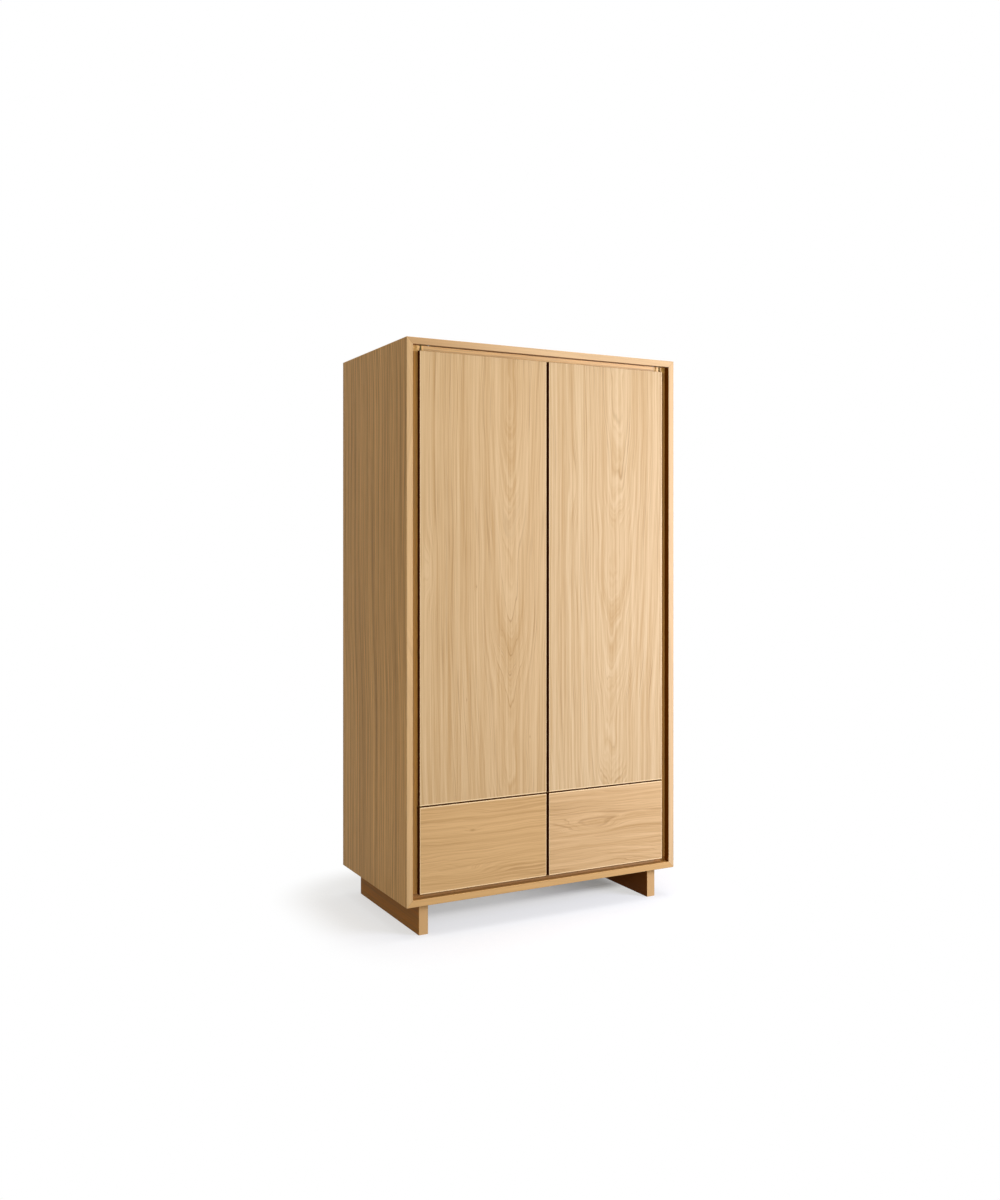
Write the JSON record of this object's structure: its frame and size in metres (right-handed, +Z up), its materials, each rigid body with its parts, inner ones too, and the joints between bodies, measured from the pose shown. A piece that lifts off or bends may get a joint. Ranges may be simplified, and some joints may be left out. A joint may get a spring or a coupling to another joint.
{
  "type": "armoire",
  "caption": "Tall wooden armoire with flush push-open doors over drawers, set in a mitred case with a shadow channel, on slab feet.",
  "frame": {"origin": "on the floor, under the middle of the case", "axes": "+Z up, the doors face -Y, +X to the right seen from the front"},
  "size_m": [1.1, 0.614, 2.03],
  "materials": {
    "case_wood": "clear matt lacquer on pale oak veneer",
    "front_wood": "clear matt lacquer on pale oak veneer",
    "frame_wood": "clear matt lacquer on solid oak",
    "inner_wood": "clear lacquer on oak veneer",
    "drawer_wood": "clear lacquer on birch",
    "hidden_wood": "bare beech",
    "runner_steel": "zinc plated, satin",
    "rail_steel": "polished",
    "pivot_steel": "dark bronzed, satin",
    "screw_steel": "zinc plated",
    "latch_plastic": "moulded, matt",
    "cage_plastic": "moulded, matt"
  },
  "bodies": {
    "cabinet": {"top_panel": "case_wood", "bottom_panel": "case_wood", "left_side_panel": "case_wood", "right_side_panel": "case_wood", "mitre_splines": "hidden_wood", "back_panel": "inner_wood", "left_inner_stile": "frame_wood", "right_inner_stile": "frame_wood", "top_inner_rail": "frame_wood", "middle_inner_rail": "frame_wood", "bottom_inner_rail": "frame_wood", "frame_tenons": "hidden_wood", "wardrobe_floor": "inner_wood", "drawer_divider": "inner_wood", "hat_shelf": "inner_wood", "shelf_pins": "screw_steel", "hanging_rail": "rail_steel", "rail_sockets": "rail_steel", "left_foot": "case_wood", "right_foot": "case_wood", "left_runner_packer": "hidden_wood", "right_runner_packer": "hidden_wood", "left_cabinet_runners": "runner_steel", "right_cabinet_runners": "runner_steel", "upper_pivot_plates": "pivot_steel", "lower_pivot_brackets": "pivot_steel", "latch_housings": "latch_plastic"},
    "left_door": {"left_door_panel": "front_wood", "left_door_bushes": "pivot_steel", "left_strike_plate": "screw_steel"},
    "left_drawer": {"left_drawer_front": "front_wood", "left_drawer_inner_front": "drawer_wood", "left_drawer_outer_side": "drawer_wood", "left_drawer_inner_side": "drawer_wood", "left_drawer_back": "drawer_wood", "left_drawer_bottom": "drawer_wood", "left_drawer_runners": "runner_steel"},
    "left_runner_slides": {"left_middle_runners": "runner_steel", "left_runner_cages": "cage_plastic"},
    "left_latch_plunger": {"left_latch_plunger": "latch_plastic"},
    "right_door": {"right_door_panel": "front_wood", "right_door_bushes": "pivot_steel", "right_strike_plate": "screw_steel"},
    "right_drawer": {"right_drawer_front": "front_wood", "right_drawer_inner_front": "drawer_wood", "right_drawer_outer_side": "drawer_wood", "right_drawer_inner_side": "drawer_wood", "right_drawer_back": "drawer_wood", "right_drawer_bottom": "drawer_wood", "right_drawer_runners": "runner_steel"},
    "right_runner_slides": {"right_middle_runners": "runner_steel", "right_runner_cages": "cage_plastic"},
    "right_latch_plunger": {"right_latch_plunger": "latch_plastic"}
  },
  "joints": [
    {"name": "left_door_swing", "type": "hinge", "parent": "cabinet", "child": "left_door", "pos_m": [-0.493, -0.293, 1.217], "axis": [0, 0, -1], "range_deg": [0, 110]},
    {"name": "right_door_swing", "type": "hinge", "parent": "cabinet", "child": "right_door", "pos_m": [0.493, -0.293, 1.217], "axis": [0, 0, 1], "range_deg": [0, 110]},
    {"name": "left_drawer_slide", "type": "slide", "parent": "cabinet", "child": "left_drawer", "axis": [0, -1, 0], "range_m": [0, 0.46]},
    {"name": "left_runner_slide", "type": "slide", "parent": "cabinet", "child": "left_runner_slides", "axis": [0, -1, 0], "range_m": [0, 0.23]},
    {"name": "right_drawer_slide", "type": "slide", "parent": "cabinet", "child": "right_drawer", "axis": [0, -1, 0], "range_m": [0, 0.46]},
    {"name": "right_runner_slide", "type": "slide", "parent": "cabinet", "child": "right_runner_slides", "axis": [0, -1, 0], "range_m": [0, 0.23]},
    {"name": "left_latch_press", "type": "slide", "parent": "cabinet", "child": "left_latch_plunger", "axis": [0, 1, 0], "range_m": [0, 0.0025], "stiffness_N_per_m": 400},
    {"name": "right_latch_press", "type": "slide", "parent": "cabinet", "child": "right_latch_plunger", "axis": [0, 1, 0], "range_m": [0, 0.0025], "stiffness_N_per_m": 400}
  ],
  "couplings": [
    {"joint": "left_runner_slide", "follows": "left_drawer_slide", "ratio": 0.5},
    {"joint": "right_runner_slide", "follows": "right_drawer_slide", "ratio": 0.5}
  ]
}
